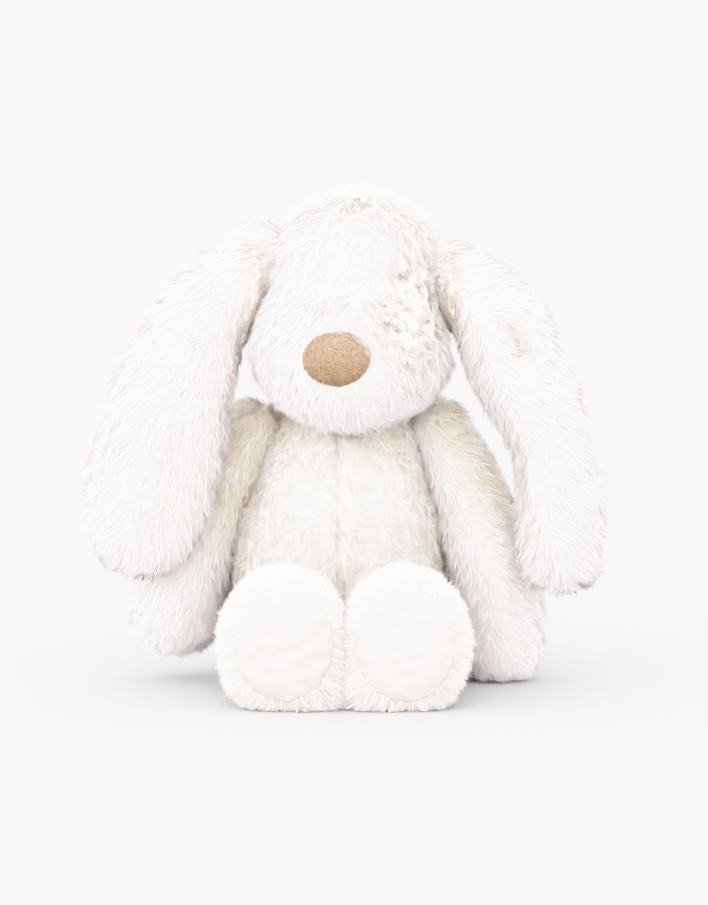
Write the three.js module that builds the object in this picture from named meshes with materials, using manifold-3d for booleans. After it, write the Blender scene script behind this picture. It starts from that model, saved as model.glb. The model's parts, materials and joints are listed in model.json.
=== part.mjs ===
// A sitting plush rabbit with long hanging ears, millimetres, +Z up, facing -Y.
// The origin is the middle of the flat seat, on the surface that the toy sits on.
// "left" and "right" are the toy's own: its left side is +X.
//
// Every sewn part is a stuffed cover: fabric panels, parted along their seams,
// around a filling. The solids follow the middle of the pile.

import * as THREE from 'three';
import { mergeVertices } from 'three/addons/utils/BufferGeometryUtils.js';
import Module from 'manifold-3d';

// ---------------------------------------------------------------- dimensions
const COVER = 4.0;            // thickness of fabric and the dense foot of its pile
const SEAM = 0.4;             // parting between two panels
const FIT = 0.5;              // gap between cover and filling
const RUN = 1.0;              // running clearance round a moving limb

const TORSO = {
  path: [[-1, 4, -9], [-1, 4, 12], [-2, 3, 36], [-2, 0, 62], [-2, -3, 86], [-1, -4, 108], [0, -5, 128], [0, -6, 149]],
  wide: [45, 47.5, 49, 49.5, 47.5, 42.5, 34, 26],
  deep: [38, 40.5, 42, 43, 42, 37.5, 30, 24],
  cap: [26, 20],
};
const BELLY_SEAM_X = -3.5;    // centre front seam
const SIDE_SEAM_Y = 4;        // side seams
const SEAT_TOP = 6.5;         // upper edge of the seat panel
const NECK_PLANE = 138.5;     // upper edge of the torso cover
const POUCH = { at: [0, 19.5, 20], r: [29, 15, 12] };
const TAIL = { at: [0, 49, 30], r: 15 };

const NECK = [0, -8, 150];    // nod axis, along X
const NECK_R = 24;
const HEAD_CENTRE = [0, -38, 172];
const HEAD_LOBES = [          // skull, cheeks, muzzle: centre and half sizes
  { c: [0, -12, 195], r: [42.5, 43, 50] },
  { c: [2.5, -37, 168.5], r: [49, 43, 35.5] },
  { c: [0, -60, 165], r: [27, 24, 24] },
];
const HEAD_SOFT = 2.2;        // rounding between the lobes
const HEAD_ROLL = 5;          // degrees, crown towards the toy's left
const HEAD_YAW = -5;          // degrees, nose towards the toy's right
const GUSSET_HALF = 17;       // half width of the strip over the forehead
const CHIN_Z = 152;           // seam under the muzzle
const BACK_Y = -6;            // seam behind the ears
const NOSE = { at: [0, -82.5, 168.5], r: [17, 10.5, 13] };
const NOSE_SKIN = 2.4;

const EAR_T = [11, 12, 13, 13, 13, 13, 12.5, 11.5, 9];
const EARS = {
  left: {
    root: [41, -26, 211],
    path: [[29, -26, 219.5], [41, -26, 211], [58, -29, 200], [74, -34, 184], [84, -38, 165], [93, -41, 146], [101, -43.5, 126], [106, -44.5, 104], [108, -44.5, 82], [110, -44, 50.5]],
    wide: [15.5, 15.5, 17.5, 21.5, 23.5, 22, 19.5, 20.5, 20.5, 16],
    deep: [11, 11, 12, 13, 13, 13, 13, 13, 13, 11],
    cap: [14.5, 17],
  },
  right: {
    root: [-38, -26, 213],
    path: [[-26, -26, 221.5], [-38, -26, 213], [-55, -29, 201], [-70, -34, 182], [-80, -38.5, 158], [-88, -43, 132], [-94, -44.5, 108], [-100, -44.5, 86], [-106, -44, 60]],
    wide: [15.5, 15.5, 18, 23, 27.5, 30.5, 29.5, 26, 20],
    deep: [11, 11, 12, 13, 13, 13, 13, 13, 11],
    cap: [14.5, 19],
  },
};
const ARMS = {
  left: {
    root: [46, -3, 127],
    path: [[40, -3, 141.5], [46, -3, 127], [57, -5, 107], [66.5, -7, 82], [75, -9, 56], [78, -9.5, 32], [78, -9.5, 0.6]],
    r: [15.5, 15.5, 15.5, 16, 17.8, 19, 18.5],
    cap: [15.5, 17],
  },
  right: {
    root: [-46, -3, 127],
    path: [[-40, -3, 141.5], [-46, -3, 127], [-59, -5, 106], [-71, -7, 82], [-80, -9, 60], [-84.5, -9.5, 42], [-85, -9.5, 15.5]],
    r: [15.5, 15.5, 15.8, 17, 19.8, 21, 20.5],
    cap: [15.5, 18],
  },
};
const LEGS = {
  left: { root: [30, -27, 31], side: 1 },
  right: { root: [-30, -27, 31], side: -1 },
};
const LEG = {
  path: [[30, 0, 31], [30, -27, 31], [29.5, -55, 31], [29, -80, 31.5], [29, -109, 32.5]],
  wide: [26, 26, 25.5, 26.5, 27],
  deep: [26.5, 26.5, 27.5, 32.2, 34.5],
  cap: [26, 5],
};
const LEG_SWEEP = [-45, -12, 20];   // leg angles kept clear in the torso: the two limits and between
const EAR_SWEEP = [25, 50, 75];       // ear angles kept clear in the head
const ARM_SWEEP = [16, 32, 48, 65];   // arm angles kept clear in the torso
const PAD = { y: -105.5, r: [24, 27.5], depth: 2.2, dome: 5.4 };

// ----------------------------------------------------------------- materials
const mat = (color, roughness) => new THREE.MeshStandardMaterial({ color, roughness, metalness: 0 });
const plush = () => mat(0xf6f1ea, 0.95);
const velour = () => mat(0xf3ece0, 0.9);
const tan = () => mat(0xd9bd9c, 0.9);
const filling = () => mat(0xfbfbfb, 1.0);
const pouchCloth = () => mat(0xe9e6df, 0.95);
const thread = () => mat(0xe8e2d6, 0.8);

// ------------------------------------------------------------------- helpers
const wasm = await Module();
wasm.setup();

const V = (a) => new THREE.Vector3(a[0], a[1], a[2]);

function solid(geometry) {
  const g = geometry.clone();
  g.deleteAttribute('normal');
  g.deleteAttribute('uv');
  const m = mergeVertices(g, 1e-3);
  const p = m.attributes.position.array;
  const tri = Array.from(m.index.array);
  const keep = [];
  let vol = 0;
  const a = new THREE.Vector3(), b = new THREE.Vector3(), c = new THREE.Vector3();
  for (let i = 0; i < tri.length; i += 3) {
    const [u, v, w] = [tri[i], tri[i + 1], tri[i + 2]];
    if (u === v || v === w || u === w) continue;
    a.fromArray(p, u * 3); b.fromArray(p, v * 3); c.fromArray(p, w * 3);
    vol += a.dot(b.cross(c));
    keep.push(u, v, w);
  }
  if (vol < 0) for (let i = 0; i < keep.length; i += 3) [keep[i], keep[i + 1]] = [keep[i + 1], keep[i]];
  return new wasm.Manifold(new wasm.Mesh({
    numProp: 3,
    vertProperties: new Float32Array(p),
    triVerts: new Uint32Array(keep),
  }));
}

function box(lo, hi) {
  const g = new THREE.BoxGeometry(hi[0] - lo[0], hi[1] - lo[1], hi[2] - lo[2]);
  g.translate((hi[0] + lo[0]) / 2, (hi[1] + lo[1]) / 2, (hi[2] + lo[2]) / 2);
  return solid(g);
}

// Half space as a big box: everything on the side of `point` that `normal` points to.
function side(point, normal, shift = 0) {
  const n = V(normal).normalize();
  const g = new THREE.BoxGeometry(600, 600, 600);
  g.translate(0, 0, 300);
  g.applyQuaternion(new THREE.Quaternion().setFromUnitVectors(new THREE.Vector3(0, 0, 1), n));
  const p = V(point).addScaledVector(n, shift);
  g.translate(p.x, p.y, p.z);
  return solid(g);
}

function ball(at, r, nr = 16, ns = 10) {
  const g = new THREE.SphereGeometry(1, nr, ns);
  const s = Array.isArray(r) ? r : [r, r, r];
  g.rotateX(Math.PI / 2);
  g.scale(s[0], s[1], s[2]);
  g.translate(at[0], at[1], at[2]);
  return solid(g);
}

// A stuffed tube along a path: rings of half sizes wide x deep, rounded ends.
// `inset` shrinks it evenly (negative grows it).
function tube(spec, up, inset = 0, nr = 16, ns = 12) {
  const pts = spec.path.map(V);
  const curve = new THREE.CatmullRomCurve3(pts, false, 'catmullrom', 0.5);
  const wide = spec.wide ?? spec.r;
  const deep = spec.deep ?? spec.r;
  const cum = [0];
  for (let i = 1; i < pts.length; i++) cum.push(cum[i - 1] + pts[i].distanceTo(pts[i - 1]));
  const L = cum[cum.length - 1];
  const lerp = (arr, i, f) => arr[i] + (arr[i + 1] - arr[i]) * f;
  const g = new THREE.SphereGeometry(1, nr, ns);
  const pos = g.attributes.position;
  const upv = V(up);
  for (let k = 0; k < pos.count; k++) {
    const cy = Math.min(1, Math.max(-1, pos.getY(k)));
    const sinPhi = Math.sqrt(Math.max(0, 1 - cy * cy));
    const ct = sinPhi < 1e-6 ? 1 : pos.getX(k) / sinPhi;
    const st = sinPhi < 1e-6 ? 0 : pos.getZ(k) / sinPhi;
    const s = inset + (L - 2 * inset) * (1 - cy) / 2;
    let i = 0;
    while (i < pts.length - 2 && s > cum[i + 1]) i++;
    const f = Math.min(1.5, Math.max(-0.5, (s - cum[i]) / (cum[i + 1] - cum[i])));
    const t = Math.min(1, Math.max(0, (i + f) / (pts.length - 1)));
    const c = curve.getPoint(t);
    const tan_ = curve.getTangent(t);
    const over = s < 0 ? s : (s > L ? s - L : 0);
    c.addScaledVector(tan_, over);
    const w = new THREE.Vector3().crossVectors(upv, tan_).normalize();
    const d = new THREE.Vector3().crossVectors(tan_, w).normalize();
    const c0 = spec.cap[0] - inset, c1 = spec.cap[1] - inset;
    const a0 = s - inset, a1 = L - inset - s;
    let cap = 1;
    if (a0 < c0) cap = Math.min(cap, Math.sqrt(Math.max(0, 1 - ((c0 - a0) / c0) ** 2)));
    if (a1 < c1) cap = Math.min(cap, Math.sqrt(Math.max(0, 1 - ((c1 - a1) / c1) ** 2)));
    const ff = Math.min(1, Math.max(0, f));
    const rw = (lerp(wide, i, ff) - inset) * cap;
    const rd = (lerp(deep, i, ff) - inset) * cap;
    c.addScaledVector(w, ct * rw).addScaledVector(d, st * rd);
    pos.setXYZ(k, c.x, c.y, c.z);
  }
  return solid(g);
}

// The head: the soft union of three lobes seen from a point inside all of them.
function headSolid(inset = 0, nr = 18, ns = 11) {
  const g = new THREE.SphereGeometry(1, nr, ns);
  g.rotateX(Math.PI / 2);
  const pos = g.attributes.position;
  const C = V(HEAD_CENTRE);
  const d = new THREE.Vector3();
  for (let k = 0; k < pos.count; k++) {
    d.fromBufferAttribute(pos, k).normalize();
    const r = HEAD_LOBES.map(({ c, r }) => {
      const o = [(C.x - c[0]) / r[0], (C.y - c[1]) / r[1], (C.z - c[2]) / r[2]];
      const e = [d.x / r[0], d.y / r[1], d.z / r[2]];
      const A = e[0] ** 2 + e[1] ** 2 + e[2] ** 2;
      const B = o[0] * e[0] + o[1] * e[1] + o[2] * e[2];
      const K = o[0] ** 2 + o[1] ** 2 + o[2] ** 2 - 1;
      return (-B + Math.sqrt(Math.max(0, B * B - A * K))) / A;
    });
    const m = Math.max(...r);
    const soft = m + HEAD_SOFT * Math.log(r.reduce((s, v) => s + Math.exp((v - m) / HEAD_SOFT), 0));
    pos.setXYZ(k, ...C.clone().addScaledVector(d, soft - inset).toArray());
  }
  return solid(headTurn(g));
}

function headTurn(g) {
  g.translate(-NECK[0], -NECK[1], -NECK[2]);
  g.rotateZ(THREE.MathUtils.degToRad(HEAD_YAW));
  g.rotateY(THREE.MathUtils.degToRad(HEAD_ROLL));
  g.translate(NECK[0], NECK[1], NECK[2]);
  return g;
}

function headPoint(p) {
  const v = V(p).sub(V(NECK));
  v.applyAxisAngle(new THREE.Vector3(0, 0, 1), THREE.MathUtils.degToRad(HEAD_YAW));
  v.applyAxisAngle(new THREE.Vector3(0, 1, 0), THREE.MathUtils.degToRad(HEAD_ROLL));
  return v.add(V(NECK)).toArray();
}

function headDir(p) {
  const v = V(p);
  v.applyAxisAngle(new THREE.Vector3(0, 0, 1), THREE.MathUtils.degToRad(HEAD_YAW));
  v.applyAxisAngle(new THREE.Vector3(0, 1, 0), THREE.MathUtils.degToRad(HEAD_ROLL));
  return v.toArray();
}

// Turn a solid by `deg` about the Y axis through `at`.
function turnY(man, at, deg) {
  return man.translate([-at[0], -at[1], -at[2]]).rotate([0, deg, 0]).translate(at);
}

// The first stretch of a limb, next to its root.
function rootOf(spec, n) {
  const cut = (a) => (a ? a.slice(0, n) : undefined);
  return { ...spec, path: spec.path.slice(0, n), wide: cut(spec.wide), deep: cut(spec.deep), r: cut(spec.r), cap: [spec.cap[0], 6] };
}

// Turn a solid by `deg` about the X axis through `at`.
function turnX(man, at, deg) {
  return man.translate([-at[0], -at[1], -at[2]]).rotate([deg, 0, 0]).translate(at);
}

const bunny = new THREE.Group();
bunny.name = 'rabbit';

// Each piece is one body: offcuts that a socket parts from it are left out.
function add(name, man, material) {
  const whole = man.decompose().sort((a, b) => b.volume() - a.volume())[0];
  const out = whole.getMesh();
  const g = new THREE.BufferGeometry();
  const n = out.numProp;
  const src = out.vertProperties;
  const p = new Float32Array((src.length / n) * 3);
  for (let i = 0; i < src.length / n; i++) {
    p[i * 3] = src[i * n];
    p[i * 3 + 1] = src[i * n + 1];
    p[i * 3 + 2] = src[i * n + 2];
  }
  g.setAttribute('position', new THREE.BufferAttribute(p, 3));
  g.setIndex(new THREE.BufferAttribute(new Uint32Array(out.triVerts), 1));
  g.computeVertexNormals();
  const mesh = new THREE.Mesh(g, material);
  mesh.name = name;
  bunny.add(mesh);
  return mesh;
}

// ---------------------------------------------------------------- limb solids
const UP_Y = [0, 1, 0];
const UP_Z = [0, 0, 1];
const mirrorLeg = (s) => ({ ...LEG, path: LEG.path.map(([x, y, z]) => [x * s, y, z]) });
const floorCut = side([0, 0, 0], [0, 0, 1]);

const legOuter = {}, legInner = {}, legFill = {}, armClear = {}, earClear = {};
const legSweep = [];
const roughTorso = [], roughHead = [];   // roomier cuts for the fillings
for (const s of ['left', 'right']) {
  const spec = mirrorLeg(LEGS[s].side);
  const frontCut = side([0, PAD.y - 2.6, 0], [0, 1, 0]);
  legOuter[s] = tube(spec, UP_Z, 0, 14, 8).intersect(floorCut).intersect(frontCut);
  legInner[s] = tube(spec, UP_Z, COVER, 14, 8);
  legFill[s] = tube(spec, UP_Z, COVER + FIT, 14, 8);
  const grown = tube(spec, UP_Z, -RUN, 14, 8);
  const rough = tube(spec, UP_Z, -RUN - 2.8, 10, 6);
  for (const deg of LEG_SWEEP) {
    legSweep.push(turnX(grown, LEGS[s].root, -deg));
    roughTorso.push(turnX(rough, LEGS[s].root, -deg));
  }
  armClear[s] = tube(ARMS[s], UP_Y, -RUN, 12, 9);
  earClear[s] = tube(EARS[s], UP_Y, -RUN, 12, 11);
  const out = s === 'left' ? -1 : 1;
  const armRoot = tube(rootOf(ARMS[s], 4), UP_Y, -RUN - 0.8, 12, 6);
  for (const deg of ARM_SWEEP) armClear[s] = armClear[s].add(turnY(armRoot, ARMS[s].root, out * deg));
  const earRoot = tube(rootOf(EARS[s], 4), UP_Y, -RUN - 0.8, 12, 6);
  for (const deg of EAR_SWEEP) earClear[s] = earClear[s].add(turnY(earRoot, EARS[s].root, out * deg));
  const armRough = tube(rootOf(ARMS[s], 4), UP_Y, -RUN - 3, 8, 5);
  for (const deg of [0, 32, 65]) roughTorso.push(turnY(armRough, ARMS[s].root, out * deg));
  const earRough = tube(rootOf(EARS[s], 4), UP_Y, -RUN - 3, 8, 5);
  for (const deg of [0, 38, 75]) roughHead.push(turnY(earRough, EARS[s].root, out * deg));
}

// --------------------------------------------------------------------- torso
const neckBall = ball(NECK, NECK_R, 16, 10);
const neckClear = ball(NECK, NECK_R + RUN + 0.3, 16, 10);
const headClear = headSolid(-1.9, 14, 9);

let torsoCut = neckClear.add(headClear).add(armClear.left).add(armClear.right);
for (const m of legSweep) torsoCut = torsoCut.add(m);

const torsoOuter = tube(TORSO, UP_Y, 0, 18, 11);
const torsoInner = tube(TORSO, UP_Y, COVER, 18, 11);
const torsoFull = torsoOuter.intersect(floorCut).intersect(side([0, 0, NECK_PLANE], [0, 0, -1]));
const torsoShell = torsoFull
  .subtract(torsoInner.intersect(side([0, 0, COVER], [0, 0, 1])))
  .subtract(torsoCut);

const roughCut = ball(NECK, NECK_R + 2.2, 12, 8).add(headSolid(-3, 12, 8));
const fillingCut = roughTorso.reduce((m, r) => m.add(r), roughCut);

const tailBall = ball(TAIL.at, TAIL.r, 14, 9);
const h = SEAM / 2;
const aboveSeat = side([0, 0, SEAT_TOP + h], [0, 0, 1]);
const front = side([0, SIDE_SEAM_Y - h, 0], [0, -1, 0]);
const back = side([0, SIDE_SEAM_Y + h, 0], [0, 1, 0]);
add('belly_panel_left', torsoShell.intersect(aboveSeat).intersect(front).intersect(side([BELLY_SEAM_X + h, 0, 0], [1, 0, 0])), plush());
add('belly_panel_right', torsoShell.intersect(aboveSeat).intersect(front).intersect(side([BELLY_SEAM_X - h, 0, 0], [-1, 0, 0])), plush());
add('back_panel_left', torsoShell.intersect(aboveSeat).intersect(back).intersect(side([h, 0, 0], [1, 0, 0])), plush());
add('back_panel_right', torsoShell.intersect(aboveSeat).intersect(back).intersect(side([-h, 0, 0], [-1, 0, 0])), plush());
add('seat_panel', torsoShell.intersect(side([0, 0, SEAT_TOP - h], [0, 0, -1])), plush());

const pouch = ball(POUCH.at, POUCH.r, 14, 8);
add('torso_stuffing', tube(TORSO, UP_Y, COVER + FIT, 18, 11)
  .intersect(side([0, 0, COVER + FIT], [0, 0, 1]))
  .intersect(side([0, 0, NECK_PLANE], [0, 0, -1]))
  .subtract(fillingCut)
  .subtract(ball(POUCH.at, POUCH.r.map((v) => v + FIT), 14, 8).add(box([-3, 16, 2], [3, 22, 20]))), filling());
add('pellet_pouch', pouch, pouchCloth());

const tailFree = tailBall.subtract(tube(TORSO, UP_Y, -FIT, 18, 11));
const tailInner = ball(TAIL.at, TAIL.r - 3, 14, 9);
add('tail_cover', tailFree.subtract(tailInner), plush());
add('tail_stuffing', ball(TAIL.at, TAIL.r - 3 - FIT, 14, 9).subtract(tube(TORSO, UP_Y, -FIT, 18, 11)), filling());

// ---------------------------------------------------------------------- head
const headOuter = headSolid(0);
const headInner = headSolid(COVER);
const earSockets = earClear.left.add(earClear.right);
const headShell = headOuter.subtract(headInner).subtract(ball(NECK, NECK_R + FIT, 16, 10)).subtract(earSockets);

const hs = (p, n, shift = 0) => side(headPoint(p), headDir(n), shift);
const inGusset = hs([GUSSET_HALF - h, 0, 0], [-1, 0, 0]).intersect(hs([-GUSSET_HALF + h, 0, 0], [1, 0, 0]));
const aboveChin = hs([0, -60, CHIN_Z + h], [0, 0.12, 1]);
const belowChin = hs([0, -60, CHIN_Z - h], [0, -0.12, -1]);
const frontHead = hs([0, BACK_Y - h, 0], [0, -1, 0]);
const backHead = hs([0, BACK_Y + h, 0], [0, 1, 0]);
add('forehead_gusset', headShell.intersect(frontHead).intersect(aboveChin).intersect(inGusset), plush());
add('face_panel_left', headShell.intersect(frontHead).intersect(aboveChin).intersect(hs([GUSSET_HALF + h, 0, 0], [1, 0, 0])), plush());
add('face_panel_right', headShell.intersect(frontHead).intersect(aboveChin).intersect(hs([-GUSSET_HALF - h, 0, 0], [-1, 0, 0])), plush());
add('chin_panel', headShell.intersect(frontHead).intersect(belowChin), plush());
add('head_back_panel_left', headShell.intersect(backHead).intersect(hs([h, 0, 0], [1, 0, 0])), plush());
add('head_back_panel_right', headShell.intersect(backHead).intersect(hs([-h, 0, 0], [-1, 0, 0])), plush());
add('head_stuffing', headSolid(COVER + FIT).add(neckBall).subtract(roughHead.reduce((m, r) => m.add(r))), filling());

const noseAt = headPoint(NOSE.at);
const grownHead = headSolid(-FIT);
const noseInner = ball(noseAt, NOSE.r.map((v) => v - NOSE_SKIN), 14, 9);
add('nose_cover', ball(noseAt, NOSE.r, 14, 9).subtract(noseInner).subtract(grownHead), tan());
add('nose_padding', ball(noseAt, NOSE.r.map((v) => v - NOSE_SKIN - 0.4), 14, 9).subtract(grownHead), filling());

// ---------------------------------------------------------------------- ears
for (const s of ['left', 'right']) {
  const e = EARS[s];
  const a = V(e.root);
  const nrm = [0, -1, 0.116];
  const at = [0, a.y - 1, a.z];
  const shell = tube(e, UP_Y, 0, 12, 11).subtract(tube(e, UP_Y, COVER, 12, 11));
  add(`ear_${s}_front_panel`, shell.intersect(side(at, nrm, h)), plush());
  add(`ear_${s}_back_panel`, shell.intersect(side(at, nrm.map((v) => -v), h)), plush());
  add(`ear_${s}_filling`, tube(e, UP_Y, COVER + FIT, 12, 11), filling());
}

// ---------------------------------------------------------------------- arms
for (const s of ['left', 'right']) {
  const e = ARMS[s];
  const k = s === 'left' ? 1 : -1;
  const from = V(e.root), to = V(e.path[e.path.length - 2]);
  const n = [(from.z - to.z), 0, (to.x - from.x)];
  const outN = n.map((v) => v * k);
  const shell = tube(e, UP_Y, 0, 12, 9).subtract(tube(e, UP_Y, COVER, 12, 9));
  add(`arm_${s}_outer_panel`, shell.intersect(side(e.root, outN, h)), plush());
  add(`arm_${s}_inner_panel`, shell.intersect(side(e.root, outN.map((v) => -v), h)), plush());
  add(`arm_${s}_stuffing`, tube(e, UP_Y, COVER + FIT, 12, 9), filling());
}

// ---------------------------------------------------------------------- legs
function padSolid(x, z, r, y, depth, dome) {
  const profile = [[0, -depth], [1, -depth], [1, 0]];
  for (let i = 1; i < 5; i++) profile.push([Math.cos(i * Math.PI / 10), Math.sin(i * Math.PI / 10)]);
  profile.push([0, 1]);
  const pts = profile.map(([a, b]) => new THREE.Vector2(a, b > 0 ? b * dome : b));
  const g = new THREE.LatheGeometry(pts, 20);
  g.scale(r[0], 1, r[1]);
  g.rotateX(Math.PI);
  g.translate(x, y, z);
  return solid(g);
}

for (const s of ['left', 'right']) {
  const k = LEGS[s].side;
  const x = 29 * k, z = 32.3;
  const bore = padSolid(x, z, [PAD.r[0] + FIT, PAD.r[1] + FIT], PAD.y, PAD.depth + 0.4, 40);
  const shell = legOuter[s].subtract(legInner[s]).subtract(bore);
  add(`leg_${s}_outer_panel`, shell.intersect(side([29.5 * k, 0, 0], [k, 0, 0], h)), plush());
  add(`leg_${s}_inner_panel`, shell.intersect(side([29.5 * k, 0, 0], [-k, 0, 0], h)), plush());
  add(`leg_${s}_stuffing`, legFill[s].intersect(side([0, PAD.y + PAD.depth + 0.9, 0], [0, 1, 0])), filling());
  add(`foot_${s}_pad`, padSolid(x, z, PAD.r, PAD.y, PAD.depth, PAD.dome), velour());
}

export default bunny;
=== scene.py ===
import json
import math
import bpy
import numpy as np
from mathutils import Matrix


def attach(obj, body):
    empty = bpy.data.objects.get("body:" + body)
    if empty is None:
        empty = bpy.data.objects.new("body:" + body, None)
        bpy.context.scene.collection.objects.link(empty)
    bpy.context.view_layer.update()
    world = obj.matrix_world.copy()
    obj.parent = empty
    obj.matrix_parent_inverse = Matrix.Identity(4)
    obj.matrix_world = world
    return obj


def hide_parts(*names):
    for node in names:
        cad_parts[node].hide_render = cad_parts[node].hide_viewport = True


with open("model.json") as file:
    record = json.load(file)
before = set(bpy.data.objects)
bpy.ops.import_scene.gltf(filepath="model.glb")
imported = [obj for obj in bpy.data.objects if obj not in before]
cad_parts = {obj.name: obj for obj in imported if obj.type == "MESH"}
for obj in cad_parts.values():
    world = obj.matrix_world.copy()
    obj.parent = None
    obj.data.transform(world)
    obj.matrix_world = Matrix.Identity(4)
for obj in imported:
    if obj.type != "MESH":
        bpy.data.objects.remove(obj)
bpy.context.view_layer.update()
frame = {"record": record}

MM = 0.001
rng0 = np.random.default_rng(11)

# ------------------------------------------------------------------ the toy's shapes, mm
TORSO = dict(
    path=[[-2.5, 4, -9], [-3, 4, 12], [-3.5, 3, 36], [-3, 0, 62], [-2, -3, 86], [-1, -4, 108], [0, -5, 128], [0, -6, 149]],
    wide=[47, 52, 54.5, 53.5, 50, 43.5, 34.5, 26], deep=[38, 40.5, 42, 43, 42, 37.5, 30, 24], cap=[26, 20])
NECK = np.array([0, -8, 150.0])
HEAD_CENTRE = np.array([0, -38, 172.0])
HEAD_LOBES = [([0, -12, 195], [42.5, 43, 50]), ([2.5, -37, 168.5], [49, 43, 35.5]), ([0, -60, 165], [27, 24, 24])]
HEAD_SOFT = 7.0
# where the stuffing pushes the cover out a little: direction from the head's middle, mm, degrees
HEAD_BUMPS = [((0.55, 0.2, 0.85), 8.5, 29), ((-0.55, 0.2, 0.85), 6.0, 29), ((0.1, 0.3, 1), 2.5, 24), ((0.05, -0.35, -1), 4.5, 42),
              ((0.9, 0.0, 0.45), 3.0, 28), ((-0.9, 0.0, 0.45), 3.0, 28),
              ((1, 0.15, -0.2), 2.5, 30)]
HEAD_ROLL, HEAD_YAW = math.radians(5), math.radians(-5)
EARS = dict(
    left=dict(root=[41, -26, 211],
              path=[[29, -16, 219.5], [41, -18, 211.5], [58, -24, 201.5], [74, -32, 185], [84, -37.5, 165.5], [93, -41, 146], [101, -43.5, 126], [106, -44.5, 104], [108, -44.5, 82], [110, -44, 50.5]],
              wide=[16, 16.5, 19.8, 24, 25.5, 24, 21.5, 22.5, 22, 17],
              deep=[11, 11, 12, 13, 13, 13, 13, 13, 13, 11], cap=[14.5, 17]),
    right=dict(root=[-38, -26, 213],
               path=[[-26, -16, 222], [-38, -18, 215.5], [-54, -24, 203], [-69.5, -32, 184], [-81.5, -38, 159.5], [-90, -43, 133], [-96, -44.5, 108], [-101, -44.5, 86], [-106, -44, 60]],
               wide=[17.5, 19.5, 22.5, 26.5, 30.5, 33.5, 32.5, 28.5, 21],
               deep=[11, 11, 12, 13, 13, 13, 13, 13, 11], cap=[14.5, 19]))
ARMS = dict(
    left=dict(root=[46, -3, 127],
              path=[[40, -3, 141.5], [46, -3, 127], [57, -5, 107], [66.5, -7, 82], [75, -9, 56], [78, -9.5, 32], [78, -9.5, 0.6]],
              r=[15, 15.5, 17.3, 19, 20.6, 21.3, 20], cap=[15.5, 17]),
    right=dict(root=[-46, -3, 127],
               path=[[-40, -3, 141.5], [-46, -3, 127], [-59, -5, 106], [-71, -7, 82], [-80, -9, 60], [-84.5, -9.5, 42], [-85, -9.5, 15.5]],
               r=[15, 15.5, 17, 19.2, 21.5, 22.2, 21], cap=[15.5, 18]))
LEG = dict(path=[[30, 0, 31], [30, -27, 31], [29.5, -55, 31], [29, -80, 31.5], [29, -109, 32.5]],
           wide=[26, 26, 25.5, 26.5, 27], deep=[26.5, 26.5, 27.5, 32.2, 34.5], cap=[26, 5])
PAD = dict(y=-105.5, z=32.3, r=(24.0, 27.5))
NOSE = dict(at=[0, -82.5, 168.5], r=[17, 10.5, 13])
TAIL = dict(at=[0, 49, 30], r=15)
UP_Y, UP_Z = (0, 1, 0), (0, 0, 1)


def leg_spec(side):
    k = 1 if side == "left" else -1
    s = dict(LEG)
    s["path"] = [[x * k, y, z] for x, y, z in LEG["path"]]
    return s


def unit(v):
    return v / np.maximum(np.linalg.norm(v, axis=-1, keepdims=True), 1e-9)


def catmull(P, i, f):
    """Uniform Catmull-Rom through the rows of P: point and slope at segment i, fraction f."""
    n = len(P)
    ext = np.vstack([2 * P[0] - P[1], P, 2 * P[-1] - P[-2]])
    p0, p1, p2, p3 = ext[i], ext[i + 1], ext[i + 2], ext[np.minimum(i + 3, n + 1)]
    f = f[:, None]
    pt = 0.5 * (2 * p1 + (p2 - p0) * f + (2 * p0 - 5 * p1 + 4 * p2 - p3) * f ** 2 + (3 * p1 - p0 - 3 * p2 + p3) * f ** 3)
    d = 0.5 * ((p2 - p0) + 2 * (2 * p0 - 5 * p1 + 4 * p2 - p3) * f + 3 * (3 * p1 - p0 - 3 * p2 + p3) * f ** 2)
    return pt, d


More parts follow.
